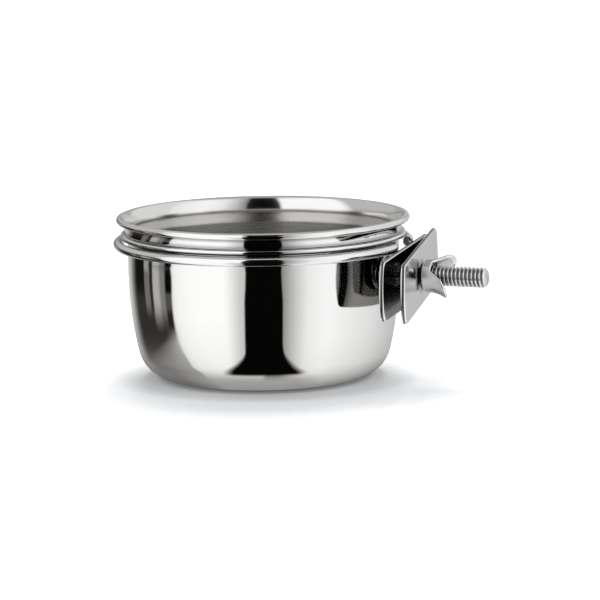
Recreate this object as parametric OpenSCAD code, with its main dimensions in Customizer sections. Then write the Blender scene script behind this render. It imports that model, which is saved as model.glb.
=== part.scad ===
// Bolt-on seed cup: a drawn steel cup that hangs by its bead in an open wire ring,
// with a cage clamp made of two plates, a bolt and a stamped wing nut.
// Lengths are in millimetres and angles in degrees.
// X runs out along the bolt, Z is up, and the origin is the centre of the cup's base.

/* [Cup] */
// Outside diameter of the cup wall under the bead
wall_d = 85.3; // [60:0.5:130]
// Height from the floor to the top of the rim
cup_h = 51.2; // [46:0.2:70]
// Thickness of the drawn sheet
sheet_t = 0.6; // [0.4:0.05:0.8]
// Diameter of the curl that is rolled round the rim
curl_d = 2.15; // [1.8:0.05:2.6]
// Radius of the neck's long curve from its narrowest part up to the curl
neck_r = 7.8; // [6:0.1:12]
// Inside bend radius at the foot of the neck, above the bead
neck_bend = 0.35; // [0.2:0.05:0.6]
// How far the bead stands out from the wall
bead_out = 2.25; // [2:0.05:2.9]
// Length of the level part on top of the bead
bead_flat = 0.1; // [0.05:0.05:0.4]
// Depth of the bead's edge below the top of the rim
bead_down = 6.1; // [5:0.1:8]
// Inside bend radius at the bead's edge
bead_bend = 0.3; // [0.2:0.05:0.6]
// Outside radius where the bead's shoulder meets the wall
shoulder_r = 0.5; // [0.3:0.1:1]
// Outside radius of the corner between the base and the wall
corner_r = 11; // [7:0.5:15]
// Height at which the wall starts to draw in towards the base
bow_h = 34.4; // [28:0.2:36]
// Radius of the wall's long curve below that height
bow_r = 115; // [95:1:160]

/* [Ring] */
// Diameter of the ring's wire
wire_d = 3; // [2.6:0.1:3.6]
// Gap between the ring's inside and the cup wall
ring_gap = 1.5; // [1.2:0.05:1.8]
// Gap between the bead and the wire that carries it
bead_seat = 0.6; // [0.2:0.05:0.8]
// Depth of the flat on each wire end where it is welded to the plate
weld_flat = 0.35; // [0.2:0.05:0.6]

/* [Clamp plates] */
// Length of each clamp plate
plate_w = 57; // [44:0.5:60]
// Height of each clamp plate
plate_h = 18.6; // [17:0.2:22]
// Thickness of each clamp plate
plate_t = 1.45; // [1.2:0.05:1.8]
// Radius of the bowed ends of each plate
plate_end_r = 24; // [16:0.5:34]
// Radius that rounds each corner of a plate
plate_corner_r = 2.5; // [1.5:0.5:5]
// Gap between the bead and the back of the welded plate
plate_gap = 1.3; // [1:0.05:1.6]
// Depth of the welded plate's middle below the bolt's axis
inner_drop = 0.7; // [0:0.1:1]
// Angle by which the welded plate leans along the ring
inner_roll = 1.8; // [0:0.1:6]
// Angle by which the welded plate is askew to the bolt
inner_skew = 3; // [0:0.1:4]
// Angle by which the loose plate has turned on the bolt
outer_roll = 4.8; // [0:0.1:14]
// Angle by which the loose plate is askew to the bolt
outer_skew = 7.3; // [0:0.1:8]
// Width of the jaw between the plates, measured along the bolt
jaw_gap = 3.2; // [2.8:0.05:6]
// Clearance all round the bolt in the loose plate's hole
bore_slack = 0.4; // [0.3:0.05:0.6]

/* [Bolt] */
// Outside diameter of the bolt's thread
bolt_d = 6.3; // [5:0.05:7]
// Length of the bolt under its head
bolt_len = 27.4; // [24:0.2:34]
// Depth of the bolt's axis below the ring's wire
bolt_down = 8.9; // [8:0.1:9.5]
// Diameter of the bolt's flat head
head_d = 12.5; // [10:0.1:13]
// Thickness of the bolt's flat head
head_t = 1.9; // [1.4:0.1:2.2]
// Chamfer at the end of the bolt
bolt_chamfer = 0.7; // [0.4:0.1:1]
// Clearance all round the bolt in the welded plate and the nut
bolt_fit = 0.05; // [0.02:0.01:0.08]

/* [Wing nut] */
// Diameter of the nut's round base
nut_d = 10.2; // [9.6:0.1:12]
// Thickness of the nut's sheet
nut_t = 1.1; // [0.8:0.05:1.2]
// Radius at the edge of the nut's base
nut_edge_r = 0.9; // [0.6:0.1:1]
// Depth of the threaded middle of the nut
nut_core_h = 2.3; // [1.8:0.1:2.8]
// Height of the collar that runs all round the nut
collar_h = 3.2; // [3:0.1:4]
// Height of the nut from its base to the wing tips
wing_h = 8.8; // [7.5:0.1:11]
// How far a wing tip stands out beyond the base
wing_flare = 2.8; // [2:0.1:4]
// Half width of a wing where it leaves the collar
wing_root = 5; // [4.4:0.1:5]
// Half width of a wing at its tip
wing_tip = 3.7; // [2.8:0.1:4.2]
// Radius of the rounded top edge of a wing
wing_tip_r = 6; // [5:0.1:8]
// Gap between the nut's base and the loose plate
nut_seat = 0.2; // [0.1:0.05:0.4]
// Angle of the wings from upright
nut_turn = 48; // [0:1:180]

/* [Hidden] */
$fn = 96;

// Overrun of the cuts
over = 1;
// Overlap that lets two tangent arcs cross, so that no sliver is left between them
lap = 0.002;

// Radii and heights of the cup
wall_r = wall_d / 2;
bead_r = wall_r + bead_out;
curl_r = curl_d / 2;
curl_z = cup_h - curl_r;
bead_z = cup_h - bead_down;
nose_r = bead_bend + sheet_t;
wall_top = bead_z - nose_r - shoulder_r;

// The neck is narrowest above the bead and flares up on one long arc, to which the curl is tangent
neck_x = bead_r - nose_r - bead_flat - neck_bend;
neck_z = bead_z + nose_r + neck_bend;
curl_reach = neck_r + sheet_t - curl_r + lap;
curl_lean = asin((curl_z - neck_z) / curl_reach);
curl_x = neck_x + neck_r - curl_reach * cos(curl_lean);
neck_rise = (neck_r + sheet_t) * sin(curl_lean);

// The wall's long curve is tangent to the corner and upright at its top
corner_z = corner_r + lap;
bow_a = asin((bow_h - corner_z) / (bow_r - corner_r));
corner_x = wall_r - bow_r + (bow_r - corner_r) * cos(bow_a);

// The ring stands under the bead, clear of the wall
wire_r = wire_d / 2;
ring_r = wall_r + ring_gap + wire_r;
seat_reach = nose_r + wire_r + bead_seat;
seat_side = ring_r - (bead_r - nose_r);
ring_z = bead_z - sqrt(seat_reach * seat_reach - seat_side * seat_side);

// Places along the bolt
back_x = bead_r + plate_gap;
inner_front = back_x + plate_t / cos(inner_skew);
head_x = back_x - head_d / 2 * tan(inner_skew);
outer_back = inner_front + jaw_gap;
outer_front = outer_back + plate_t / cos(outer_skew);
nut_r = nut_d / 2;
nut_x = outer_front + nut_r * tan(outer_skew) + nut_seat;
bolt_z = ring_z - bolt_down;
bolt_r = bolt_d / 2;
end_a = acos((back_x * cos(inner_skew) + weld_flat) / (ring_r + wire_r));

// The loose plate's hole lets it lie askew
loose_bore = bolt_d / cos(outer_skew) + plate_t * sin(outer_skew) + 2 * bore_slack;
tight_bore = bolt_d + 2 * bolt_fit;

// The arc of a plate's corner is tangent to its long side and to its bowed end
end_x = plate_w / 2 - plate_end_r;
round_z = plate_h / 2 - plate_corner_r - lap;
round_reach = plate_end_r - plate_corner_r;
round_x = end_x + sqrt(round_reach * round_reach - round_z * round_z);
tangent_z = plate_end_r * round_z / round_reach;

// The wings flare outwards on one arc
flare_rise = wing_h - nut_edge_r;
flare_r = (wing_flare * wing_flare + flare_rise * flare_rise) / (2 * wing_flare);

module band(outer, inner) {
    difference() {
        circle(r = outer);
        circle(r = inner);
    }
}

// Filled outline of the cup below its shoulder, drawn in from the outside by inset
module body_outline(inset) {
    split_z = corner_z - (corner_r - inset) * sin(bow_a);
    translate([0, inset])
        square([corner_x, corner_r - inset]);
    translate([corner_x, corner_z])
        circle(r = corner_r - inset + lap);
    intersection() {
        translate([wall_r - bow_r, bow_h])
            circle(r = bow_r - inset);
        translate([0, split_z])
            square([wall_r, bow_h - split_z]);
    }
    translate([0, bow_h])
        square([wall_r - inset, wall_top - bow_h]);
}

// Section of the shoulder, the bead, the neck and the curled rim
module rim_section() {
    intersection() {
        translate([wall_r + shoulder_r, wall_top])
            band(shoulder_r + sheet_t, shoulder_r);
        translate([wall_r - sheet_t, wall_top])
            square(shoulder_r + sheet_t);
    }
    translate([wall_r + shoulder_r, bead_z - nose_r])
        square([bead_out - nose_r - shoulder_r, sheet_t]);
    intersection() {
        translate([bead_r - nose_r, bead_z])
            band(nose_r, bead_bend);
        translate([bead_r - nose_r, bead_z - nose_r])
            square([nose_r, 2 * nose_r]);
    }
    translate([neck_x + neck_bend, bead_z + bead_bend])
        square([bead_flat, sheet_t]);
    intersection() {
        translate([neck_x + neck_bend, neck_z])
            band(neck_bend + sheet_t, neck_bend);
        translate([neck_x - sheet_t, bead_z + bead_bend])
            square(neck_bend + sheet_t);
    }
    difference() {
        union() {
            intersection() {
                translate([neck_x + neck_r, neck_z])
                    band(neck_r + sheet_t, neck_r);
                translate([neck_x - sheet_t - over, neck_z])
                    square([over + sheet_t + neck_r, neck_rise]);
            }
            translate([curl_x, curl_z])
                circle(r = curl_r);
        }
        translate([curl_x, curl_z])
            circle(r = curl_r - sheet_t);
    }
}

module cup() {
    color("silver")
        rotate_extrude() {
            difference() {
                body_outline(0);
                body_outline(sheet_t);
            }
            rim_section();
        }
}

// Open ring, with a flat at each end that lies against the welded plate
module holder_ring() {
    color("gainsboro")
        difference() {
            translate([0, 0, ring_z])
                rotate([0, 0, end_a + inner_skew])
                    rotate_extrude(angle = 360 - 2 * end_a)
                        translate([ring_r, 0])
                            circle(r = wire_r);
            translate([back_x, 0, ring_z])
                rotate([0, 0, inner_skew])
                    translate([0, -ring_r, -wire_d])
                        cube([wire_d, 2 * ring_r, 2 * wire_d]);
        }
}

// Outline of a clamp plate, centred on the bolt
module plate_outline() {
    square([2 * round_x, plate_h], center = true);
    for (side = [-1, 1]) {
        intersection() {
            translate([side * end_x, 0])
                circle(r = plate_end_r);
            square([plate_w, 2 * tangent_z], center = true);
        }
        for (level = [-1, 1])
            translate([side * round_x, level * round_z])
                circle(r = plate_corner_r + lap);
    }
}

// Clamp plate with its back face at X = 0
module plate() {
    rotate([90, 0, 90])
        linear_extrude(height = plate_t)
            plate_outline();
}

module inner_plate() {
    color("lightgray")
        difference() {
            translate([back_x, 0, bolt_z - inner_drop])
                rotate([inner_roll, 0, inner_skew])
                    plate();
            translate([back_x - over, 0, bolt_z])
                rotate([0, 90, 0])
                    cylinder(h = plate_t + 2 * over, r = tight_bore / 2);
        }
}

module outer_plate() {
    color("lightgray")
        translate([outer_back, 0, bolt_z])
            rotate([0, 0, outer_skew])
                difference() {
                    rotate([outer_roll, 0, 0])
                        plate();
                    translate([-over, 0, 0])
                        rotate([0, 90, 0])
                            cylinder(h = plate_t + 2 * over, r = loose_bore / 2);
                }
}

// Half section of the bolt: flat head, shank and chamfered end
module bolt_section() {
    polygon([
        [0, -head_t],
        [head_d / 2, -head_t],
        [head_d / 2, 0],
        [bolt_r, 0],
        [bolt_r, bolt_len - bolt_chamfer],
        [bolt_r - bolt_chamfer, bolt_len],
        [0, bolt_len]
    ]);
}

module clamp_bolt() {
    color("darkgray")
        translate([head_x, 0, bolt_z])
            rotate([0, 90, 0])
                rotate_extrude()
                    bolt_section();
}

// Half section of the nut: threaded middle, rounded base and flaring wall
module nut_section() {
    flare_x = nut_r + flare_r;
    difference() {
        union() {
            square([nut_r - nut_edge_r, nut_core_h]);
            intersection() {
                translate([nut_r - nut_edge_r, nut_edge_r])
                    circle(r = nut_edge_r);
                square([nut_r, nut_edge_r]);
            }
            intersection() {
                translate([flare_x, nut_edge_r])
                    band(flare_r + nut_t, flare_r);
                translate([0, nut_edge_r])
                    square([flare_x, flare_rise + over]);
            }
        }
        square([tight_bore / 2, nut_core_h]);
    }
}

// Outline that leaves the collar whole and cuts two tapered wings above it
module wing_mask() {
    reach = nut_r + wing_flare + nut_t;
    translate([-reach, 0])
        square([2 * reach, collar_h]);
    intersection() {
        polygon([
            [-wing_root, 0],
            [wing_root, 0],
            [wing_root, collar_h],
            [wing_tip, wing_h],
            [wing_tip, wing_h + over],
            [-wing_tip, wing_h + over],
            [-wing_tip, wing_h],
            [-wing_root, collar_h]
        ]);
        translate([0, wing_h - wing_tip_r])
            circle(r = wing_tip_r);
    }
}

module wing_nut() {
    reach = nut_r + wing_flare + nut_t;
    color("darkgray")
        translate([nut_x, 0, bolt_z])
            rotate([-nut_turn, 0, 0])
                intersection() {
                    rotate([0, 90, 0])
                        rotate_extrude()
                            nut_section();
                    translate([0, 0, -reach])
                        rotate([0, 0, 90])
                            mirror([0, 1, 0])
                                linear_extrude(height = 2 * reach)
                                    wing_mask();
                }
}

cup();
holder_ring();
inner_plate();
outer_plate();
clamp_bolt();
wing_nut();
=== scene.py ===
"""A steel seed cup in its clamp-on wire ring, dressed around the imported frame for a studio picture."""

import math

import bpy
from mathutils import Matrix, Vector


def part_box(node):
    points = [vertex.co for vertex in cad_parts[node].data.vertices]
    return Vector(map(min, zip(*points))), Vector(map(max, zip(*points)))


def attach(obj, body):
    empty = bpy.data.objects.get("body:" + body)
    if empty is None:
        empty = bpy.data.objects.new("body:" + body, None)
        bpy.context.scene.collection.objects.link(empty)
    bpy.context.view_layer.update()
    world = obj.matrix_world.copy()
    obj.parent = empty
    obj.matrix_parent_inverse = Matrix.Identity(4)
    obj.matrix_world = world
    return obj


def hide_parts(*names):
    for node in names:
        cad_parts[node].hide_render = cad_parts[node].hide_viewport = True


MM = 0.001

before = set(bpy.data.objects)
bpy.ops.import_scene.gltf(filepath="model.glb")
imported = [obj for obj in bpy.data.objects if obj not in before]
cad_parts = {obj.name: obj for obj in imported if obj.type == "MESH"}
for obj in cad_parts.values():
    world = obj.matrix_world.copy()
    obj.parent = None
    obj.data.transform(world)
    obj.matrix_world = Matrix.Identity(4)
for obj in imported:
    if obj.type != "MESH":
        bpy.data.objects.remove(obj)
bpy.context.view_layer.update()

# Corners of the CAD nodes' boxes, in metres
cup_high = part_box("cup")[1]
wire_low, wire_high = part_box("holder_ring")
bolt_low, bolt_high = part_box("clamp_bolt")
nut_low, nut_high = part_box("wing_nut")

# Cup: the source's driving sizes
WALL_R = 42.65 * MM
SHEET = 0.6 * MM
CURL_R = 1.075 * MM
NECK_R = 7.8 * MM
NECK_BEND = 0.35 * MM
BEAD_OUT = 2.25 * MM
BEAD_FLAT = 0.1 * MM
BEAD_DOWN = 6.1 * MM
BEAD_BEND = 0.3 * MM
SHOULDER_R = 0.5 * MM
CORNER_R = 11 * MM
BOW_H = 34.4 * MM
BOW_R = 115 * MM
CUP_H = cup_high.z
# The soft step inside the bead ends this far below the shoulder
STEP_BELOW = 0.9 * MM
# The rolled rim's crease: its angle and width on the curl in degrees, and its depth
CREASE_AT, CREASE_WIDTH = 24, 8
CREASE_DEPTH = 0.08 * MM
# Steps along the arcs of the cup's section, from the base up and down again, and faces round it
WALL_STEPS = 28
SHOULDER_STEPS = 6
NOSE_STEPS = 16
FOOT_STEPS = 8
NECK_STEPS = 12
CURL_STEPS = 40
LIP_STEPS = 8
THROAT_STEPS = 14
INSIDE_STEPS = 18
CUP_SIDES = 224

# Ring
WIRE_R = (wire_high.z - wire_low.z) / 2
RING_R = -wire_low.x - WIRE_R
RING_Z = (wire_high.z + wire_low.z) / 2
WELD_FLAT = 0.35 * MM
RING_STEPS = 220
WIRE_SIDES = 28

# Plates
PLATE_W = 57 * MM
PLATE_H = 18.6 * MM
PLATE_T = 1.45 * MM
PLATE_END_R = 24 * MM
PLATE_CORNER_R = 2.5 * MM
PLATE_EDGE = 0.42 * MM
PLATE_GAP = 1.3 * MM
INNER_DROP = 0.7 * MM
INNER_ROLL = math.radians(1.8)
INNER_SKEW = math.radians(3)
OUTER_ROLL = math.radians(4.8)
OUTER_SKEW = math.radians(7.3)
JAW_GAP = 3.2 * MM
PLATE_CORNER_STEPS = 8
PLATE_END_STEPS = 16
PLATE_EDGE_STEPS = 3
BORE_STEPS = 48
# A plate's finishes, and the cosines to its front below which a face is its side and above which it is flat
PLATE_FINISHES = 4
FRONT, SIDE, BACK, BEVEL = range(PLATE_FINISHES)
SIDE_LEAN = 0.1
FLAT_LEAN = 0.99

# Bolt
BOLT_R = 3.15 * MM
BOLT_Z = (bolt_low.z + bolt_high.z) / 2
HEAD_R = (bolt_high.z - bolt_low.z) / 2
HEAD_T = 1.9 * MM
HEAD_EDGE = 0.25 * MM
BOLT_CHAMFER = 0.7 * MM
THREAD_PITCH = 1.27 * MM
THREAD_DEPTH = 0.7 * MM
BORE_R = 3.2 * MM
LOOSE_BORE_R = 3.67 * MM
# Where the groove's root ends and the crest starts, as shares of half a pitch from the groove's middle
ROOT_SHARE = 0.16
CREST_SHARE = 0.74
BOLT_SIDES = 64
PITCH_STEPS = 14

# Wing nut
NUT_R = 5.1 * MM
NUT_T = 1.1 * MM
NUT_EDGE_R = 0.9 * MM
NUT_CORE_H = 2.3 * MM
NUT_BORE_EDGE = 0.3 * MM
COLLAR_H = 3.2 * MM
WING_H = nut_high.x - nut_low.x
WING_FLARE = 2.8 * MM
WING_ROOT = 5 * MM
WING_TIP = 3.7 * MM
WING_TIP_R = 6 * MM
# The wings' middle stands this far from upright, towards the far side
NUT_TURN = math.radians(48)
NUT_SIDES = 180
NUT_STEPS = 16
NUT_EDGE_STEPS = 8

# Edges that bend more than these angles stay crisp
PLATE_CRISP = math.radians(35)
TURNED_CRISP = math.radians(50)
# Rounds of halving when a height or an angle is searched for
HEIGHT_ROUNDS = 30
ANGLE_ROUNDS = 24

# Camera, as fitted to the photograph
VIEW_AZIMUTH = math.radians(20)
VIEW_PITCH = math.radians(9.106)
VIEW_ROLL = math.radians(-0.80)
VIEW_DISTANCE = 1.031
VIEW_CLIP = (0.05, 20)
IMAGE_SIDE = 600
FOCAL_PIXELS = 3279
RIM_PIXEL = (262.97, 217.24)
SENSOR = 36.0


def clamp(value):
    return min(max(value, 0.0), 1.0)


def smooth(value, low, high):
    """0 below low, 1 above high and a smooth step between them."""
    t = clamp((value - low) / (high - low))
    return t * t * (3 - 2 * t)


def between(value, start, end, soft):
    """1 between two values and 0 outside, with soft sides."""
    share = smooth(value, start - soft / 2, start + soft / 2)
    return share * (1 - smooth(value, end - soft / 2, end + soft / 2))


def arc(centre, radius, start, end, steps):
    """Points on an arc, with angles in degrees."""
    points = []
    for i in range(steps + 1):
        a = math.radians(start + (end - start) * i / steps)
        points.append((centre[0] + radius * math.cos(a), centre[1] + radius * math.sin(a)))
    return points


def show(obj):
    bpy.context.scene.collection.objects.link(obj)
    return obj


def mesh_object(name, verts, faces, smooth_shade=True):
    mesh = bpy.data.meshes.new(name)
    mesh.from_pydata([tuple(v) for v in verts], [], faces)
    mesh.validate()
    if smooth_shade:
        mesh.polygons.foreach_set("use_smooth", [True] * len(mesh.polygons))
    return show(bpy.data.objects.new(name, mesh))


def set_finishes(mesh, count, marks=None):
    """Empty places for a number of finishes, and the place that each face takes."""
    for _ in range(count):
        mesh.materials.append(None)
    if marks:
        mesh.polygons.foreach_set("material_index", marks)


# Meshes


def creased(centre, radius, start, end, steps):
    """An arc like the others, with the rolled rim's fine crease in it."""
    points = []
    for i in range(steps + 1):
        angle = start + (end - start) * i / steps
        dent = CREASE_DEPTH * math.exp(-((angle - CREASE_AT) / CREASE_WIDTH) ** 2)
        points.append(arc(centre, radius - dent, angle, angle, 1)[0])
    return points


def cup_outline():
    """The cup's section as (radius, height) points: outside from the base up, lip, and inside down again."""
    bead_r = WALL_R + BEAD_OUT
    bead_z = CUP_H - BEAD_DOWN
    curl_z = CUP_H - CURL_R
    nose_r = BEAD_BEND + SHEET
    wall_top = bead_z - nose_r - SHOULDER_R
    bow_a = math.asin((BOW_H - CORNER_R) / (BOW_R - CORNER_R))
    corner_x = WALL_R - BOW_R + (BOW_R - CORNER_R) * math.cos(bow_a)
    neck_x = bead_r - nose_r - BEAD_FLAT - NECK_BEND
    neck_z = bead_z + nose_r + NECK_BEND
    reach = NECK_R + SHEET - CURL_R
    lean = math.degrees(math.asin((curl_z - neck_z) / reach))
    curl_x = neck_x + NECK_R - reach * math.cos(math.radians(lean))
    bow = math.degrees(bow_a)
    shoulder = (WALL_R + SHOULDER_R, wall_top)
    nose = (bead_r - nose_r, bead_z)
    foot = (neck_x + NECK_BEND, neck_z)
    hub = (neck_x + NECK_R, neck_z)
    curl = (curl_x, curl_z)
    # Where the neck's outside meets the curl from below
    share = (reach * reach + NECK_R * NECK_R - CURL_R * CURL_R) / (2 * reach * NECK_R)
    meet = 180 - lean + math.degrees(math.acos(share))
    meet_point = arc(hub, NECK_R, meet, meet, 1)[0]
    curl_start = math.degrees(math.atan2(meet_point[1] - curl_z, meet_point[0] - curl_x))
    outside = [(0.0, 0.0)]
    outside += arc((corner_x, CORNER_R), CORNER_R, -90, -bow, WALL_STEPS)
    outside += arc((WALL_R - BOW_R, BOW_H), BOW_R, -bow, 0, WALL_STEPS)[1:]
    outside += [(WALL_R, BOW_H + (wall_top - BOW_H) / 2)]
    outside += arc(shoulder, SHOULDER_R, 180, 90, SHOULDER_STEPS)
    outside += arc(nose, nose_r, -90, 90, NOSE_STEPS)
    outside += arc(foot, NECK_BEND, 270, 180, FOOT_STEPS)
    outside += arc(hub, NECK_R, 180, meet, NECK_STEPS)[1:]
    outside += creased(curl, CURL_R, curl_start, 90, CURL_STEPS)[1:]
    lip = arc(curl, CURL_R, 90, 180 - lean, LIP_STEPS)[1:]
    lip += arc(hub, NECK_R + SHEET, 180 - lean, 180, THROAT_STEPS)[1:]
    # On the inside the bead shows as one soft step from the neck to the wall
    neck_in, wall_in = neck_x - SHEET, WALL_R - SHEET
    step_end = wall_top - STEP_BELOW
    inside = []
    for i in range(1, INSIDE_STEPS + 1):
        t = i / INSIDE_STEPS
        inside.append((neck_in + (wall_in - neck_in) * smooth(t, 0, 1), neck_z + (step_end - neck_z) * t))
    inside += [(wall_in, BOW_H + (step_end - BOW_H) / 2)]
    inside += arc((WALL_R - BOW_R, BOW_H), BOW_R - SHEET, 0, -bow, WALL_STEPS)
    inside += arc((corner_x, CORNER_R), CORNER_R - SHEET, -bow, -90, WALL_STEPS)[1:]
    inside += [(0.0, SHEET)]
    return outside, lip, inside


def revolve(name, points, sides, finish_from):
    """A closed body of revolution round Z, with a vertex for each point on the axis.

    A new finish starts at each row of faces that finish_from names.
    """
    verts, rows, faces, marks = [], [], [], []
    for r, z in points:
        if r <= 0:
            rows.append([len(verts)])
            verts.append((0.0, 0.0, z))
            continue
        rows.append(list(range(len(verts), len(verts) + sides)))
        for i in range(sides):
            a = 2 * math.pi * i / sides
            verts.append((r * math.cos(a), r * math.sin(a), z))
    for k in range(len(rows) - 1):
        low, high = rows[k], rows[k + 1]
        for i in range(sides):
            j = (i + 1) % sides
            if len(low) == 1:
                face = (low[0], high[j], high[i])
            elif len(high) == 1:
                face = (low[i], low[j], high[0])
            else:
                face = (low[i], low[j], high[j], high[i])
            faces.append(face)
            marks.append(sum(k >= start for start in finish_from) - 1)
    obj = mesh_object(name, verts, faces)
    set_finishes(obj.data, len(finish_from), marks)
    return obj


def make_cup():
    """The drawn cup, with finishes for its outside, its lip and its inside."""
    outside, lip, inside = cup_outline()
    lip_from = len(outside) - 1
    inside_from = lip_from + len(lip)
    return revolve("drawn_cup", outside + lip + inside, CUP_SIDES, (0, lip_from, inside_from))


def make_ring(flat_x):
    """The open wire ring, pressed flat where it lies against the welded plate."""
    level = Vector((math.cos(INNER_SKEW), math.sin(INNER_SKEW)))
    start = math.acos((flat_x * level.x + WELD_FLAT) / (RING_R + WIRE_R))
    verts, faces = [], []
    for k in range(RING_STEPS + 1):
        a = INNER_SKEW + start + (2 * math.pi - 2 * start) * k / RING_STEPS
        for i in range(WIRE_SIDES):
            b = 2 * math.pi * i / WIRE_SIDES
            r = RING_R + WIRE_R * math.cos(b)
            spot = Vector((r * math.cos(a), r * math.sin(a)))
            beyond = max((spot - Vector((flat_x, 0))).dot(level), 0.0)
            spot -= level * beyond
            verts.append((spot.x, spot.y, RING_Z + WIRE_R * math.sin(b)))
    for k in range(RING_STEPS):
        here, there = k * WIRE_SIDES, (k + 1) * WIRE_SIDES
        for i in range(WIRE_SIDES):
            j = (i + 1) % WIRE_SIDES
            faces.append((here + i, there + i, there + j, here + j))
    faces.append(tuple(range(WIRE_SIDES)))
    faces.append(tuple(RING_STEPS * WIRE_SIDES + i for i in reversed(range(WIRE_SIDES))))
    obj = mesh_object("wire_ring", verts, faces)
    for face in obj.data.polygons[-2:]:
        face.use_smooth = False
    set_finishes(obj.data, 1)
    return obj


def plate_outline():
    """Outline of a plate in its own plane, counter-clockwise from the lower right corner."""
    end_x = PLATE_W / 2 - PLATE_END_R
    round_z = PLATE_H / 2 - PLATE_CORNER_R
    reach = PLATE_END_R - PLATE_CORNER_R
    round_x = end_x + math.sqrt(reach * reach - round_z * round_z)
    lean = math.degrees(math.asin(round_z / reach))
    right = arc((round_x, -round_z), PLATE_CORNER_R, -90, -lean, PLATE_CORNER_STEPS)
    right += arc((end_x, 0), PLATE_END_R, -lean, lean, PLATE_END_STEPS)[1:]
    right += arc((round_x, round_z), PLATE_CORNER_R, lean, 90, PLATE_CORNER_STEPS)[1:]
    left = [(-x, -z) for x, z in right]
    return right + left


def plate_curve(name, bore_r, bore_at):
    """A filled flat curve with a plate's outline, hole, thickness and eased edges."""
    curve = bpy.data.curves.new(name, "CURVE")
    curve.dimensions = "2D"
    curve.fill_mode = "BOTH"
    hole = arc(bore_at, bore_r, 0, 360, BORE_STEPS)[:-1]
    for points in (plate_outline(), hole):
        spline = curve.splines.new("POLY")
        spline.points.add(len(points) - 1)
        for point, (x, z) in zip(spline.points, points):
            point.co = (x, z, 0, 1)
        spline.use_cyclic_u = True
    curve.extrude = PLATE_T / 2 - PLATE_EDGE
    curve.bevel_depth = PLATE_EDGE
    curve.bevel_resolution = PLATE_EDGE_STEPS
    curve.offset = -PLATE_EDGE
    return curve


def plate_finish(lean):
    """The finish of a plate's face, from the cosine of its angle to the plate's front."""
    if abs(lean) < SIDE_LEAN:
        return SIDE
    if abs(lean) <= FLAT_LEAN:
        return BEVEL
    return FRONT if lean > 0 else BACK


def make_plate(name, bore_r, bore_at, place):
    """A stamped plate with eased edges and a round hole, its back at X = 0 of its own axes."""
    curve = plate_curve(name, bore_r, bore_at)
    shape = show(bpy.data.objects.new(name + "_curve", curve))
    bpy.context.view_layer.update()
    evaluated = shape.evaluated_get(bpy.context.evaluated_depsgraph_get())
    mesh = bpy.data.meshes.new_from_object(evaluated)
    mesh.name = name
    bpy.data.objects.remove(shape)
    bpy.data.curves.remove(curve)
    # The curve lies in its X and Y; they become the plate's Y and Z, and its thickness X
    turn = Matrix(((0, 0, 1, PLATE_T / 2), (1, 0, 0, 0), (0, 1, 0, 0), (0, 0, 0, 1)))
    mesh.transform(place @ turn)
    mesh.materials.clear()
    front = place.to_3x3() @ Vector((1, 0, 0))
    marks = [plate_finish(face.normal.dot(front)) for face in mesh.polygons]
    set_finishes(mesh, PLATE_FINISHES, marks)
    mesh.polygons.foreach_set("use_smooth", [True] * len(mesh.polygons))
    mesh.set_sharp_from_angle(angle=PLATE_CRISP)
    return show(bpy.data.objects.new(name, mesh))


def thread_radius(x, turn, start):
    """Radius of the thread at a place along the bolt and a share of a turn. It deepens from its start on."""
    share = (x / THREAD_PITCH - turn) % 1.0
    rise = abs(share - 0.5) * 2
    cut = THREAD_DEPTH * (1 - clamp((rise - ROOT_SHARE) / (CREST_SHARE - ROOT_SHARE)))
    return BOLT_R - cut * smooth(x, start, start + THREAD_PITCH)


def make_bolt(head_back, end):
    """The bolt: flat head, plain neck in the welded plate, a right-hand thread and a chamfered end."""
    face_x = head_back + HEAD_T
    head = (
        (head_back, HEAD_R - HEAD_EDGE),
        (head_back + HEAD_EDGE, HEAD_R),
        (face_x - HEAD_EDGE, HEAD_R),
        (face_x, HEAD_R - HEAD_EDGE),
        (face_x, BOLT_R),
    )
    rows = [(x, [radius] * BOLT_SIDES) for x, radius in head]
    count = round((end - face_x) / THREAD_PITCH * PITCH_STEPS)
    for k in range(1, count + 1):
        x = face_x + (end - face_x) * k / count
        limit = BOLT_R - max(0.0, x - (end - BOLT_CHAMFER))
        radii = [thread_radius(x, i / BOLT_SIDES, face_x + PLATE_T) for i in range(BOLT_SIDES)]
        rows.append((x, [min(radius, limit) for radius in radii]))
    verts, ids, faces = [(head_back, 0.0, BOLT_Z)], [[0] * BOLT_SIDES], []
    for x, radii in rows:
        ids.append(list(range(len(verts), len(verts) + BOLT_SIDES)))
        for i, radius in enumerate(radii):
            a = 2 * math.pi * i / BOLT_SIDES
            verts.append((x, radius * math.cos(a), BOLT_Z + radius * math.sin(a)))
    ids.append([len(verts)] * BOLT_SIDES)
    verts.append((end, 0.0, BOLT_Z))
    for here, there in zip(ids, ids[1:]):
        for i in range(BOLT_SIDES):
            j = (i + 1) % BOLT_SIDES
            face = (here[i], there[i], there[j], here[j])
            faces.append(tuple(dict.fromkeys(face)))
    obj = mesh_object("threaded_bolt", verts, faces)
    set_finishes(obj.data, 1)
    obj.data.set_sharp_from_angle(angle=TURNED_CRISP)
    return obj


def flare(h):
    """How far the nut's outside stands out at a height above its base."""
    rise = WING_H - NUT_EDGE_R
    radius = (WING_FLARE ** 2 + rise ** 2) / (2 * WING_FLARE)
    up = max(h - NUT_EDGE_R, 0.0)
    return radius - math.sqrt(radius ** 2 - up ** 2)


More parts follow.
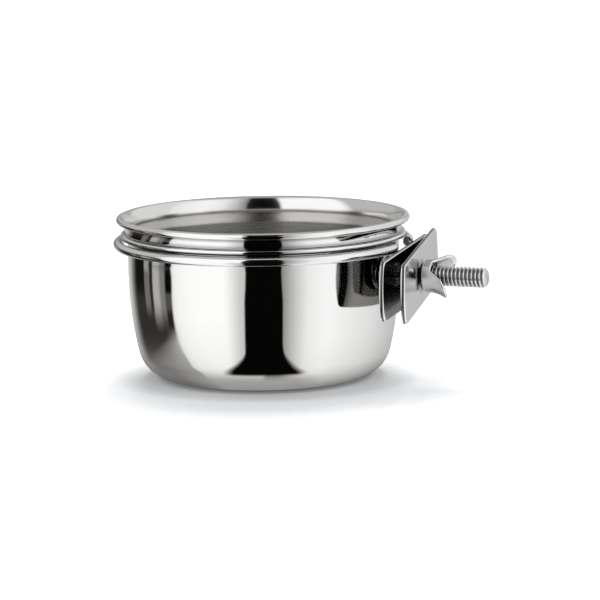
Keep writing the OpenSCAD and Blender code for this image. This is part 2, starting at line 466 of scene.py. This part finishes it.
def wing_height(a):
    """Height of the nut's wall at an angle from the middle of a wing."""
    side = abs(math.sin(a))
    low, high = COLLAR_H, WING_H
    for _ in range(HEIGHT_ROUNDS):
        h = (low + high) / 2
        share = (h - COLLAR_H) / (WING_H - COLLAR_H)
        half = WING_ROOT + (WING_TIP - WING_ROOT) * share
        y = (NUT_R + flare(h)) * side
        over_tip = h > WING_H - WING_TIP_R and math.hypot(y, h - (WING_H - WING_TIP_R)) > WING_TIP_R
        if y > half or over_tip:
            high = h
        else:
            low = h
    return low


def nut_section(top):
    """The nut's section as (radius, height) points where its wall is this high, and the rows of its rim."""
    lip = NUT_T / 2
    points = [(BORE_R, 0.0)]
    points += arc((NUT_R - NUT_EDGE_R, NUT_EDGE_R), NUT_EDGE_R, -90, 0, NUT_EDGE_STEPS)
    for k in range(1, NUT_STEPS + 1):
        h = NUT_EDGE_R + (top - lip - NUT_EDGE_R) * k / NUT_STEPS
        points.append((NUT_R + flare(h), h))
    rim_from = len(points)
    tip = (NUT_R + flare(top - lip) - lip, top - lip)
    points += arc(tip, lip, 0, 180, NUT_EDGE_STEPS)[1:]
    rim_to = len(points)
    for k in range(1, NUT_STEPS + 1):
        h = top - lip + (NUT_CORE_H - top + lip) * k / NUT_STEPS
        points.append((NUT_R + flare(h) - NUT_T, h))
    points += [(BORE_R + NUT_BORE_EDGE, NUT_CORE_H), (BORE_R, NUT_CORE_H - NUT_BORE_EDGE)]
    return points, range(rim_from, rim_to)


def make_nut(base_x):
    """The stamped wing nut: rounded base, collar, and two petals that flare outwards."""
    verts, rows, faces, marks = [], [], [], []
    for i in range(NUT_SIDES):
        a = 2 * math.pi * i / NUT_SIDES
        points, rim = nut_section(wing_height(a))
        rows.append(list(range(len(verts), len(verts) + len(points))))
        b = a + math.pi / 2 - NUT_TURN
        for r, h in points:
            verts.append((base_x + h, r * math.cos(b), BOLT_Z + r * math.sin(b)))
    # The second finish is the brighter wire steel on the base's edge and the wings' rims: a painted
    # highlight
    base_edge = range(2, NUT_EDGE_STEPS)
    for i in range(NUT_SIDES):
        here, there = rows[i], rows[(i + 1) % NUT_SIDES]
        for k in range(len(here)):
            m = (k + 1) % len(here)
            faces.append((here[k], here[m], there[m], there[k]))
            marks.append(1 if k in base_edge or k in rim else 0)
    obj = mesh_object("stamped_wing_nut", verts, faces)
    set_finishes(obj.data, 2, marks)
    obj.data.set_sharp_from_angle(angle=TURNED_CRISP)
    return obj


# Finishes

GRAIN_DETAIL = 4
QUARTER_TURN = 0.25
# Near black that a finish's close darkening mixes into its colour: painted shade
SHADE_COLOUR = (0.01, 0.01, 0.01, 1)
# Grain that runs every way, upright on a plate, or round the cup
EVEN = (1, 1, 1)
UPRIGHT = (1, 6, 1)
ROUND_CUP = (1, 1, 9)
FINE_ROUND_CUP = (1, 1, 14)
# Depths of the marks
SHALLOW = 0.02 * MM
MIDDLING = 0.03 * MM
DEEP = 0.05 * MM
# Rays for a finish that shows its close darkening, a painted shade, on a wide dark face
MANY_RAYS = 24


def new_material(name):
    material = bpy.data.materials.new(name)
    material.use_nodes = True
    tree = material.node_tree
    return material, tree, tree.nodes["Principled BSDF"]


def add(tree, kind, **values):
    node = tree.nodes.new(kind)
    for key, value in values.items():
        setattr(node, key, value)
    return node


def calculate(tree, operation, first, second):
    """The result of an operation on a socket and either a number or a second socket."""
    node = add(tree, "ShaderNodeMath", operation=operation)
    tree.links.new(first, node.inputs[0])
    if isinstance(second, float):
        node.inputs[1].default_value = second
    else:
        tree.links.new(second, node.inputs[1])
    return node.outputs[0]


def openness(tree, reach, power, rays):
    """How open a spot lies, raised to a power: 1 with nothing else within reach."""
    near = add(tree, "ShaderNodeAmbientOcclusion", samples=rays)
    near.inputs["Distance"].default_value = reach
    return calculate(tree, "POWER", near.outputs["AO"], power)


def grain_of(tree, scale, stretch):
    """Fine marks of a scale in the object's own axes, drawn out across the axis with the largest factor."""
    coords = add(tree, "ShaderNodeTexCoord")
    mapping = add(tree, "ShaderNodeMapping")
    mapping.inputs["Scale"].default_value = stretch
    tree.links.new(coords.outputs["Object"], mapping.inputs["Vector"])
    noise = add(tree, "ShaderNodeTexNoise")
    noise.inputs["Scale"].default_value = scale
    noise.inputs["Detail"].default_value = GRAIN_DETAIL
    tree.links.new(mapping.outputs["Vector"], noise.inputs["Vector"])
    return noise.outputs["Fac"]


def brush(tree, shader, amount):
    """Marks that run round the cup's axis, so that the light smears upright."""
    round_axis = add(tree, "ShaderNodeTangent", direction_type="RADIAL", axis="Z")
    tree.links.new(round_axis.outputs["Tangent"], shader.inputs["Tangent"])
    shader.inputs["Anisotropic"].default_value = amount
    shader.inputs["Anisotropic Rotation"].default_value = QUARTER_TURN


def steel(name, colour, roughness, spread, scale, stretch, bump, depth, shade=None, brushed=0.0, rays=8):
    """Bare metal: its roughness wanders by a spread, and fine marks run along the way it was worked.

    Shade is the reach and the power of a painted shade: the colour darkens where the metal lies close to
    another surface.
    """
    material, tree, shader = new_material(name)
    shader.inputs["Metallic"].default_value = 1.0
    shader.inputs["Base Color"].default_value = (*colour, 1)
    grain = grain_of(tree, scale, stretch)
    level = add(tree, "ShaderNodeMapRange")
    level.inputs["To Min"].default_value = roughness - spread
    level.inputs["To Max"].default_value = roughness + spread
    tree.links.new(grain, level.inputs["Value"])
    tree.links.new(level.outputs["Result"], shader.inputs["Roughness"])
    raised = add(tree, "ShaderNodeBump")
    raised.inputs["Strength"].default_value = bump
    raised.inputs["Distance"].default_value = depth
    tree.links.new(grain, raised.inputs["Height"])
    tree.links.new(raised.outputs["Normal"], shader.inputs["Normal"])
    if brushed:
        brush(tree, shader, brushed)
    if shade:
        # Painted shade: the colour goes towards near black where the spot lies closed in
        painted_shade = add(tree, "ShaderNodeMixRGB", blend_type="MIX")
        painted_shade.inputs["Color1"].default_value = SHADE_COLOUR
        painted_shade.inputs["Color2"].default_value = (*colour, 1)
        tree.links.new(openness(tree, *shade, rays), painted_shade.inputs["Fac"])
        tree.links.new(painted_shade.outputs["Color"], shader.inputs["Base Color"])
    return material


def glowing(name, layer):
    """A glow in the colours of a mesh's own layer."""
    material = bpy.data.materials.new(name)
    material.use_nodes = True
    tree = material.node_tree
    tree.nodes.clear()
    out = add(tree, "ShaderNodeOutputMaterial")
    glow = add(tree, "ShaderNodeEmission")
    colours = add(tree, "ShaderNodeAttribute", attribute_name=layer)
    tree.links.new(colours.outputs["Color"], glow.inputs["Color"])
    tree.links.new(glow.outputs["Emission"], out.inputs["Surface"])
    return material


# Each finish with a shade has painted shade in its colour: under the rim and in its crease, in the bead's
# groove, round the ring, on the plates, round the nut and in the thread's roots
polished = steel(
    "polished_steel", (0.87, 0.865, 0.86), roughness=0.035, spread=0.015,
    scale=60, stretch=ROUND_CUP, bump=0.03, depth=SHALLOW, shade=(1.4 * MM, 3.0))
lip_steel = steel(
    "lip_steel", (0.84, 0.835, 0.83), roughness=0.13, spread=0.03,
    scale=90, stretch=FINE_ROUND_CUP, bump=0.06, depth=MIDDLING, brushed=0.7)
# The inside's colour is well below the outside's: partly the duller brushed steel, partly painted shade for
# the inside of the cup
satin = steel(
    "satin_steel", (0.54, 0.53, 0.52), roughness=0.28, spread=0.05,
    scale=90, stretch=FINE_ROUND_CUP, bump=0.10, depth=MIDDLING, shade=(2.5 * MM, 1.5), brushed=0.6)
wire_steel_and_edge_highlight = steel(
    "wire_steel_and_edge_highlight", (0.86, 0.86, 0.86), roughness=0.08, spread=0.02,
    scale=200, stretch=EVEN, bump=0.04, depth=SHALLOW, shade=(1.4 * MM, 2.2))
# Painted shade: its close darkening reaches 9 mm, so the welded plate's face towards the loose plate goes
# near black
plate_steel = steel(
    "plate_steel", (0.76, 0.76, 0.76), roughness=0.14, spread=0.03,
    scale=60, stretch=UPRIGHT, bump=0.01, depth=SHALLOW, shade=(9 * MM, 3.8), rays=MANY_RAYS)
plate_face = steel(
    "plate_face", (0.76, 0.76, 0.76), roughness=0.12, spread=0.03,
    scale=240, stretch=UPRIGHT, bump=0.02, depth=SHALLOW, shade=(1.6 * MM, 1.4))
# Painted shade: the welded plate's back is a darker copy of the plate steel
shaded_plate_back = steel(
    "shaded_plate_back", (0.27, 0.265, 0.26), roughness=0.09, spread=0.02,
    scale=60, stretch=UPRIGHT, bump=0.005, depth=SHALLOW, shade=(4 * MM, 1.0), rays=MANY_RAYS)
# Painted shade: the loose plate's back is a darker copy of the plate steel
shaded_loose_back = steel(
    "shaded_loose_back", (0.42, 0.42, 0.42), roughness=0.14, spread=0.02,
    scale=60, stretch=UPRIGHT, bump=0.005, depth=SHALLOW)
sheared = steel(
    "sheared_edge", (0.16, 0.155, 0.15), roughness=0.35, spread=0.08,
    scale=700, stretch=EVEN, bump=0.30, depth=DEEP)
nut_steel = steel(
    "nut_steel", (0.60, 0.60, 0.61), roughness=0.12, spread=0.04,
    scale=320, stretch=EVEN, bump=0.06, depth=MIDDLING, shade=(1.4 * MM, 1.2))
plated = steel(
    "plated_steel", (0.78, 0.78, 0.79), roughness=0.15, spread=0.05,
    scale=320, stretch=EVEN, bump=0.08, depth=MIDDLING, shade=(1.4 * MM, 1.6))


# Camera


def make_camera():
    a, e = VIEW_AZIMUTH, VIEW_PITCH
    right = Vector((math.cos(a), math.sin(a), 0))
    back = Vector((math.sin(a) * math.cos(e), -math.cos(a) * math.cos(e), math.sin(e)))
    up = back.cross(right)
    # Where the rim's centre stands in the picture once the roll is taken out
    dx, dy = RIM_PIXEL[0] - IMAGE_SIDE / 2, RIM_PIXEL[1] - IMAGE_SIDE / 2
    c, s = math.cos(VIEW_ROLL), math.sin(VIEW_ROLL)
    across, down = c * dx + s * dy, c * dy - s * dx
    scale = VIEW_DISTANCE / FOCAL_PIXELS
    rim = Vector((0, 0, CUP_H - CURL_R))
    place = rim + back * VIEW_DISTANCE - right * across * scale + up * down * scale
    rolled_right = right * c + up * s
    rolled_up = up * c - right * s
    camera = bpy.data.cameras.new("camera")
    camera.sensor_width = SENSOR
    camera.lens = FOCAL_PIXELS / IMAGE_SIDE * SENSOR
    camera.clip_start, camera.clip_end = VIEW_CLIP
    obj = show(bpy.data.objects.new("camera", camera))
    turn = Matrix((rolled_right, rolled_up, back)).transposed().to_4x4()
    obj.matrix_world = Matrix.Translation(place) @ turn
    bpy.context.scene.camera = obj


# Studio: what the steel mirrors. Azimuths are in degrees to the right of the camera, reaches in millimetres
# from the cup's axis on the floor. A table is a row of (reach, value) or (azimuth, value) points.

# Azimuths of the white field's left side, and how soft it is, over the reach
WHITE_SIDE = ((35, -48), (37.5, -54.5), (40, -61.6), (43, -67.5), (47.3, -72), (53.5, -76), (63, -81),
              (75.5, -83.8), (107, -84.8), (163, -84.5), (264, -83.8), (315, -86))
WHITE_SIDE_SOFT = ((40, 5), (60, 3), (76, 6), (95, 3), (120, 2.2))
# Level of the white field over the reach, and over the degrees from its left side
WHITE_REACH = ((36.5, 0.39), (38.5, 0.46), (41, 0.60), (44, 0.76), (48, 0.90), (54, 1.0), (64, 1.06),
               (110, 1.13))
WHITE_ACROSS = ((0, 0.74), (3, 0.84), (8, 0.92), (18, 0.97), (30, 1.0))
# It dims by a share towards the black field: azimuths and reaches where that starts and is complete
WHITE_DIM = 0.45
WHITE_DIM_ACROSS = (-36, -15)
WHITE_DIM_REACH = (41, 48)

# Azimuths of the black field's sides over the reach, the reach where it starts and how soft that is, its
# level, and how soft its sides are: far out, what is added near the base, and the reaches between them
BLACK_LEFT = ((42, -38), (46, -38), (50.7, -34), (55, -26), (60, -19.6), (66, -17.2), (177, -15.9),
              (307, -14.6))
BLACK_RIGHT = ((42.5, 41), (46, 39), (50, 34), (54.7, 27), (60, 21), (66, 18), (80, 16.9), (174, 16.4),
               (305, 15.3))
BLACK_NEAR, BLACK_NEAR_SOFT = 43.2, 3.2
BLACK = 0.002
BLACK_SOFT, BLACK_SOFT_BASE = 1.8, 13
BLACK_SOFT_REACH = (44, 66)

# Level of the light field right of the black one, over the azimuth and over the reach
RIGHT_ACROSS = ((14, 0.28), (18, 0.36), (27, 0.64), (33, 0.80), (38, 0.93), (46, 1.0), (58, 1.05), (70, 1.0),
                (92, 0.90), (110, 0.82), (130, 0.70), (150, 0.60), (178, 0.50))
RIGHT_REACH = ((33, 0.24), (35, 0.36), (37, 0.50), (40, 0.66), (43, 0.80), (48, 0.88), (54, 0.93),
               (64, 0.97), (80, 1.0))
# The white and the light field meet at these azimuths
FIELDS_MEET = (-4, 4)

# Level close to the base's front, the reaches where it ends, and the azimuths where it passes into each side
BASE_FRONT = ((34, 0.34), (38, 0.40), (43, 0.46), (50, 0.50))
BASE_REACH = (38, 44)
BASE_LEFT = (-75, -20)
BASE_RIGHT = (20, 75)

# The left side over the reach: its dark far part, its light part beside the white field, the azimuth where
# it starts to rise from one to the other, the power of that rise, and what it passes into at the far back
LEFT_DARK = ((34, 0.15), (38, 0.205), (43, 0.20), (50, 0.16), (59, 0.085), (66, 0.055), (74, 0.042),
             (90, 0.032), (150, 0.034), (200, 0.012), (290, 0.008))
LEFT_LIGHT = ((34, 0.26), (37, 0.36), (43, 0.36), (53, 0.41), (63, 0.46), (70, 0.47), (76, 0.40), (84, 0.20),
              (95, 0.05), (105, 0.034))
LEFT_RISE = ((35, -85), (38, -100), (43, -122), (50, -140), (56, -134), (62, -122), (70, -108), (76, -100),
             (90, -96))
LEFT_RISE_POWER = 1.35
LEFT_EDGE = ((38, 0.24), (45, 0.30), (60, 0.42), (75, 0.42), (105, 0.52), (150, 0.62), (300, 0.56))
LEFT_EDGE_ACROSS = (136, 162)
# Stripes: azimuth from and to, softness, reach from and its softness, reach to and its softness, level
LEFT_STRIPES = (
    (-109.5, -92, 4.0, 112, 60, 289, 10, 0.22),
    (-108.5, -99, 5.0, 122, 90, 289, 10, 0.46),
    (-91.5, -82, 2.0, 92, 16, 128, 24, 0.018),
    (-91.5, -82, 2.5, 128, 24, 192, 20, 0.085),
    (-91.5, -82, 1.2, 192, 20, 300, 10, 0.003),
    (-121.5, -113, 2.5, 125, 50, 280, 10, 0.17),
    (-121.5, -114, 2.0, 270, 16, 400, 10, 0.34),
    (-111.5, -108.6, 1.4, 125, 30, 400, 10, 0.030),
    (-108, -88, 4.0, 290, 10, 400, 10, 0.11),
)

# Upright zones: azimuth from and to, softness, elevation from and to in degrees, its softness, and the level
DOME_ZONES = (
    (-82, -22, 18.0, -20, 58, 14, 1.14),
    (-60, -15, 2.0, -20, 58, 14, 1.14),
    (92, 150, 10.0, 4, 60, 10, 0.78),
    (-15.5, 15.5, 1.5, -20, 62, 10, 0.002),
    (-150, -88, 8.0, 12, 62, 8, 0.55),
    (-200, -88, 8.0, -20, 9, 14, 0.14),
    (140, 178, 5.0, -20, 12, 6, 0.60),
)
DOME_LEVEL = 0.45
# The light field goes on up the dome, a little brighter: azimuth and elevation from, to and softness
DOME_RIGHT = (15, 98, 4)
DOME_RIGHT_UP = (-20, 58, 14)
DOME_RIGHT_GAIN = 1.02

# Green and blue of the studio's dark and middle levels over their red; its light parts are neutral
DARK_TINT, DARK_TO = (0.95, 0.86), 0.14
MIDDLE_TINT, MIDDLE_TO = (0.985, 0.955), 0.75

# Cards: the floor's reaches in metres, the share of its rows up to the middle one, and each card's steps
FLOOR_NEAR, FLOOR_MIDDLE, FLOOR_FAR = 0.032, 0.075, 0.60
NEAR_ROWS = 0.55
FLOOR_COLUMNS, FLOOR_ROWS = 900, 100
DOME_COLUMNS, DOME_ROWS = 360, 60
CARD_LIFT = 0.1 * MM
# The light leaves the cup's wall, so a reach is never taken as shorter than this many radii of it
LEAST_REACH = 1.02


def heading(azimuth):
    """Level direction at an angle in degrees to the right of the camera, as seen from the object."""
    a = math.radians(azimuth) - math.pi / 2 + VIEW_AZIMUTH
    return Vector((math.cos(a), math.sin(a), 0))


def reflected_azimuth(azimuth, reach):
    """Azimuth of the level ray that lands at a place, as it leaves the cup's wall and not its centre."""
    target = abs(azimuth)
    reach = max(reach, WALL_R * LEAST_REACH)
    low, high = target, 180.0
    for _ in range(ANGLE_ROUNDS):
        middle = (low + high) / 2
        shift = math.degrees(math.asin(WALL_R * math.sin(math.radians(middle / 2)) / reach))
        if middle - shift < target:
            low = middle
        else:
            high = middle
    return math.copysign(low, azimuth)


def along(table, value):
    """Value of a table of points at a reach or an angle, on a smooth curve through them."""
    if value <= table[0][0]:
        return table[0][1]
    for k in range(len(table) - 1):
        (r0, v0), (r1, v1) = table[k], table[k + 1]
        if value <= r1:
            before, after = table[max(k - 1, 0)], table[min(k + 2, len(table) - 1)]
            slope = (v1 - v0) / (r1 - r0)
            into = (v1 - before[1]) / (r1 - before[0]) if k else slope
            out_of = (after[1] - v0) / (after[0] - r0) if k + 2 < len(table) else slope
            t = (value - r0) / (r1 - r0)
            rise = (r1 - r0) * (into * t * (1 - t) ** 2 - out_of * t * t * (1 - t))
            return v0 + (v1 - v0) * t * t * (3 - 2 * t) + rise
    return table[-1][1]


def left_level(azimuth, r, side):
    """Level of the left side, which ends at the white field's side."""
    start = along(LEFT_RISE, r)
    rise = clamp((azimuth - start) / (side - start)) ** LEFT_RISE_POWER
    dark = along(LEFT_DARK, r)
    level = dark + (along(LEFT_LIGHT, r) - dark) * rise
    level += (along(LEFT_EDGE, r) - level) * smooth(-azimuth, *LEFT_EDGE_ACROSS)
    for start, end, soft, near, near_soft, far, far_soft, value in LEFT_STRIPES:
        share = between(azimuth, start, end, soft)
        share *= smooth(r, near - near_soft / 2, near + near_soft / 2)
        share *= 1 - smooth(r, far - far_soft / 2, far + far_soft / 2)
        level += (value - level) * share
    return level


def floor_level(azimuth, reach):
    """Level of the floor card at an azimuth and a reach in metres."""
    azimuth = reflected_azimuth(azimuth, reach)
    r = reach / MM
    side = along(WHITE_SIDE, r)
    left = left_level(azimuth, r, side)
    white = along(WHITE_REACH, r) * along(WHITE_ACROSS, azimuth - side)
    white *= 1 - WHITE_DIM * smooth(azimuth, *WHITE_DIM_ACROSS) * smooth(r, *WHITE_DIM_REACH)
    right = along(RIGHT_REACH, r) * along(RIGHT_ACROSS, azimuth)
    base = along(BASE_FRONT, r)
    near_base = 1 - smooth(r, *BASE_REACH)
    right += (base - right) * (1 - smooth(azimuth, *BASE_RIGHT)) * near_base
    white += (base - white) * smooth(azimuth, *BASE_LEFT) * near_base
    half_soft = along(WHITE_SIDE_SOFT, r) / 2
    level = left + (white - left) * smooth(azimuth, side - half_soft, side + half_soft)
    level += (right - level) * smooth(azimuth, *FIELDS_MEET)
    black_soft = BLACK_SOFT + BLACK_SOFT_BASE * (1 - smooth(r, *BLACK_SOFT_REACH))
    share = between(azimuth, along(BLACK_LEFT, r), along(BLACK_RIGHT, r), black_soft)
    share *= smooth(r, BLACK_NEAR - BLACK_NEAR_SOFT / 2, BLACK_NEAR + BLACK_NEAR_SOFT / 2)
    return level + (BLACK - level) * share


def dome_level(azimuth, elevation):
    """Level of the dome at an azimuth and an elevation in degrees."""
    right = between(azimuth, *DOME_RIGHT) * between(elevation, *DOME_RIGHT_UP)
    level = DOME_LEVEL + (DOME_RIGHT_GAIN * along(RIGHT_ACROSS, azimuth) - DOME_LEVEL) * right
    for start, end, side, low, top, top_soft, value in DOME_ZONES:
        share = between(azimuth, start, end, side) * between(elevation, low, top, top_soft)
        level += (value - level) * share
    return level


def tinted(level):
    """Colour of a level."""
    dark = 1 - smooth(level, 0.0, DARK_TO)
    middle = 1 - smooth(level, DARK_TO, MIDDLE_TO)
    green, blue = ((1 + (d - 1) * dark) * (1 + (m - 1) * middle) for d, m in zip(DARK_TINT, MIDDLE_TINT))
    return level, level * green, level * blue, 1


def glossy_only(obj):
    """The object shows in the steel alone: the camera and the lamps pass it by."""
    obj.visible_camera = False
    obj.visible_diffuse = False
    obj.visible_transmission = False
    obj.visible_volume_scatter = False
    obj.visible_shadow = False


def shaded_grid(name, columns, rows, place, level):
    """A grid round the object whose light is given at each point by a level."""
    verts, faces, shades = [], [], []
    for v in range(rows + 1):
        for u in range(columns + 1):
            azimuth = -180 + 360 * u / columns
            verts.append(place(azimuth, v / rows))
            shades.append(level(azimuth, v / rows))
    for v in range(rows):
        for u in range(columns):
            k = v * (columns + 1) + u
            faces.append((k, k + 1, k + columns + 2, k + columns + 1))
    obj = mesh_object(name, verts, faces, smooth_shade=False)
    layer = obj.data.color_attributes.new("shade", "FLOAT_COLOR", "POINT")
    for point, shade in zip(layer.data, shades):
        point.color = tinted(shade)
    obj.data.materials.append(glowing(name, "shade"))
    glossy_only(obj)


def make_floor_card():
    def reach(share):
        if share < NEAR_ROWS:
            return FLOOR_NEAR + (FLOOR_MIDDLE - FLOOR_NEAR) * share / NEAR_ROWS
        return FLOOR_MIDDLE * (FLOOR_FAR / FLOOR_MIDDLE) ** ((share - NEAR_ROWS) / (1 - NEAR_ROWS))

    def place(azimuth, share):
        return heading(azimuth) * reach(share) + Vector((0, 0, CARD_LIFT))

    def level(azimuth, share):
        return floor_level(azimuth, reach(share))

    shaded_grid("floor_card", FLOOR_COLUMNS, FLOOR_ROWS, place, level)


def make_dome():
    def place(azimuth, share):
        e = math.radians(90 * share)
        up = CARD_LIFT + FLOOR_FAR * math.sin(e)
        return heading(azimuth) * (FLOOR_FAR * math.cos(e)) + Vector((0, 0, up))

    def level(azimuth, share):
        return dome_level(azimuth, 90 * share)

    shaded_grid("studio_dome", DOME_COLUMNS, DOME_ROWS, place, level)


# Floor, world and lamp

FLOOR_WHITE = 0.80
FLOOR_ROUGHNESS = 0.9
FLOOR_HALF = 6.0
FLOOR_DROP = 0.05 * MM
FLOOR_GLOW = 0.38
# Colour of the glow, which is most of what is left in the shadow, so the shadow's blue is painted
GLOW_COLOUR = (0.93, 0.965, 1.0)
# The glow fades this close to the object, by this power and down to this share: a painted contact shadow
CONTACT_REACH = 12.5 * MM
CONTACT_POWER = 1.6
CONTACT_LEAST = 0.46
CONTACT_RAYS = 12
WORLD_FILL = 0.50


def seen_rays(tree):
    """1 for the rays that show a surface or the background as such, and 0 for those that light a surface."""
    path = add(tree, "ShaderNodeLightPath")
    either = calculate(tree, "MAXIMUM", path.outputs["Is Camera Ray"], path.outputs["Is Glossy Ray"])
    return calculate(tree, "MAXIMUM", either, path.outputs["Is Transmission Ray"])


def make_floor():
    """The pale floor. Part of its white is its own glow, so the shadow on it stays soft and a little blue;
    near the object the glow fades into a painted contact shadow.
    """
    half = FLOOR_HALF
    verts = [(-half, -half, 0), (half, -half, 0), (half, half, 0), (-half, half, 0)]
    obj = mesh_object("floor", verts, [(0, 1, 2, 3)], smooth_shade=False)
    material, tree, shader = new_material("pale_floor")
    shader.inputs["Base Color"].default_value = (FLOOR_WHITE, FLOOR_WHITE, FLOOR_WHITE, 1)
    shader.inputs["Roughness"].default_value = FLOOR_ROUGHNESS
    shader.inputs["Specular IOR Level"].default_value = 0.0
    shader.inputs["Emission Color"].default_value = (*GLOW_COLOUR, 1)
    glow = calculate(tree, "MULTIPLY", seen_rays(tree), FLOOR_GLOW)
    # The glow fades close to the object, so that its shadow is kept: a painted contact shadow over the
    # lamp's real one
    steep = openness(tree, CONTACT_REACH, CONTACT_POWER, CONTACT_RAYS)
    fade = calculate(tree, "MAXIMUM", steep, CONTACT_LEAST)
    tree.links.new(calculate(tree, "MULTIPLY", glow, fade), shader.inputs["Emission Strength"])
    obj.data.materials.append(material)
    obj.location.z = -FLOOR_DROP


def make_world():
    """A white background that gives the object itself only part of its light."""
    world = bpy.data.worlds.new("studio")
    bpy.context.scene.world = world
    world.use_nodes = True
    tree = world.node_tree
    shader = tree.nodes["Background"]
    shader.inputs["Color"].default_value = (1, 1, 1, 1)
    level = add(tree, "ShaderNodeMapRange")
    level.inputs["To Min"].default_value = WORLD_FILL
    level.inputs["To Max"].default_value = 1.0
    tree.links.new(seen_rays(tree), level.inputs["Value"])
    tree.links.new(level.outputs["Result"], shader.inputs["Strength"])


def make_lamp(name, azimuth, elevation, distance, size, power):
    """A square lamp that faces the object, with its azimuth and elevation in degrees."""
    light = bpy.data.lights.new(name, "AREA")
    light.shape = "SQUARE"
    light.size = size
    light.energy = power
    obj = show(bpy.data.objects.new(name, light))
    e = math.radians(elevation)
    place = heading(azimuth) * math.cos(e) * distance + Vector((0, 0, math.sin(e) * distance))
    obj.location = place
    obj.rotation_euler = (-place).to_track_quat("-Z", "Y").to_euler()
    obj.visible_glossy = False


# The object


def dress(obj, body, node, slot, *materials):
    """Give a piece its finishes, let it ride on a body and stand for a CAD node."""
    for index, material in enumerate(materials):
        obj.data.materials[index] = material
    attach(obj, body)
    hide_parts(node)


def placed(x, z, skew, roll):
    """Place of a plate whose back stands at X and whose middle is at Z, askew and rolled."""
    turn = Matrix.Rotation(skew, 4, "Z") @ Matrix.Rotation(roll, 4, "X")
    return Matrix.Translation((x, 0, z)) @ turn


back_x = WALL_R + BEAD_OUT + PLATE_GAP
loose_x = back_x + PLATE_T / math.cos(INNER_SKEW) + JAW_GAP
inner_place = placed(back_x, BOLT_Z - INNER_DROP, INNER_SKEW, INNER_ROLL)
inner_bore = (INNER_DROP * math.sin(INNER_ROLL), INNER_DROP * math.cos(INNER_ROLL))
outer_place = placed(loose_x, BOLT_Z, OUTER_SKEW, OUTER_ROLL)

dress(make_cup(), "cup_body", "cup", "polished_steel", polished, lip_steel, satin)
dress(make_ring(back_x), "holder", "holder_ring", "bright_wire", wire_steel_and_edge_highlight)
welded = make_plate("welded_plate", BORE_R, inner_bore, inner_place)
loose = make_plate("loose_plate", LOOSE_BORE_R, (0, 0), outer_place)
# Finishes for front, side, back and bevel: the darker backs are painted shade, and the brighter wire steel
# on the bevels is a painted highlight
dress(welded, "holder", "inner_plate", "plate_steel", plate_steel, sheared, shaded_plate_back, wire_steel_and_edge_highlight)
dress(loose, "loose_plate", "outer_plate", "plate_steel", plate_face, sheared, shaded_loose_back, wire_steel_and_edge_highlight)
dress(make_bolt(bolt_low.x, bolt_high.x), "holder", "clamp_bolt", "plated_steel", plated)
dress(make_nut(nut_low.x), "nut", "wing_nut", "plated_steel", nut_steel, wire_steel_and_edge_highlight)

# The CAD nodes keep a finish of their own under the dressed pieces
for node, material in (
    ("cup", polished),
    ("holder_ring", wire_steel_and_edge_highlight),
    ("inner_plate", plate_steel),
    ("outer_plate", plate_steel),
    ("clamp_bolt", plated),
    ("wing_nut", nut_steel),
):
    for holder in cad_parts[node].material_slots:
        holder.material = material

make_camera()
make_floor()
make_floor_card()
make_dome()
make_world()
make_lamp("key_light", azimuth=176, elevation=62, distance=3.0, size=1.6, power=66)

bpy.context.scene.view_settings.view_transform = "Standard"
